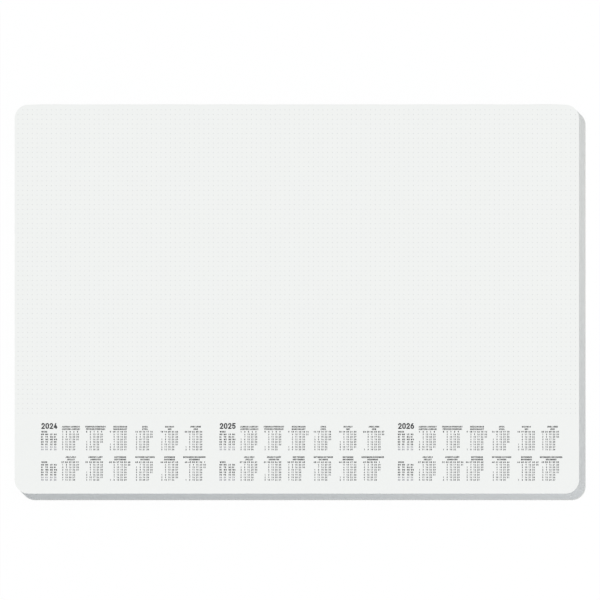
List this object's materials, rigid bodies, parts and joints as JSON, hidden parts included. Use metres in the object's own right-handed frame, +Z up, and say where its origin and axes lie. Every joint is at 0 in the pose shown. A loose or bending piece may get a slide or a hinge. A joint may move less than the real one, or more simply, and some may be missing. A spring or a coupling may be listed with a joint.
{
  "type": "desk pad calendar",
  "caption": "Flat desk pad of paper sheets with rounded corners on a pale board, dotted for notes, with yearly calendars along the front edge.",
  "frame": {"origin": "on the underside, at the middle of the pad's box", "axes": "+X along the long side, to the right as the calendar is read; +Y to the head edge, away from the reader; +Z up out of the top sheet"},
  "size_m": [0.595, 0.4102, 0.007],
  "materials": {
    "paper": "uncoated, smooth, white with a faint cool tone",
    "board": "pale pulp board, matt, with fine fibres",
    "glue": "dried white padding glue, slightly glossy, with brush marks",
    "print": "matt offset ink"
  },
  "bodies": {
    "root": {"sheet_block": "paper", "backing_board": "board", "head_glue": "glue"}
  },
  "joints": []
}
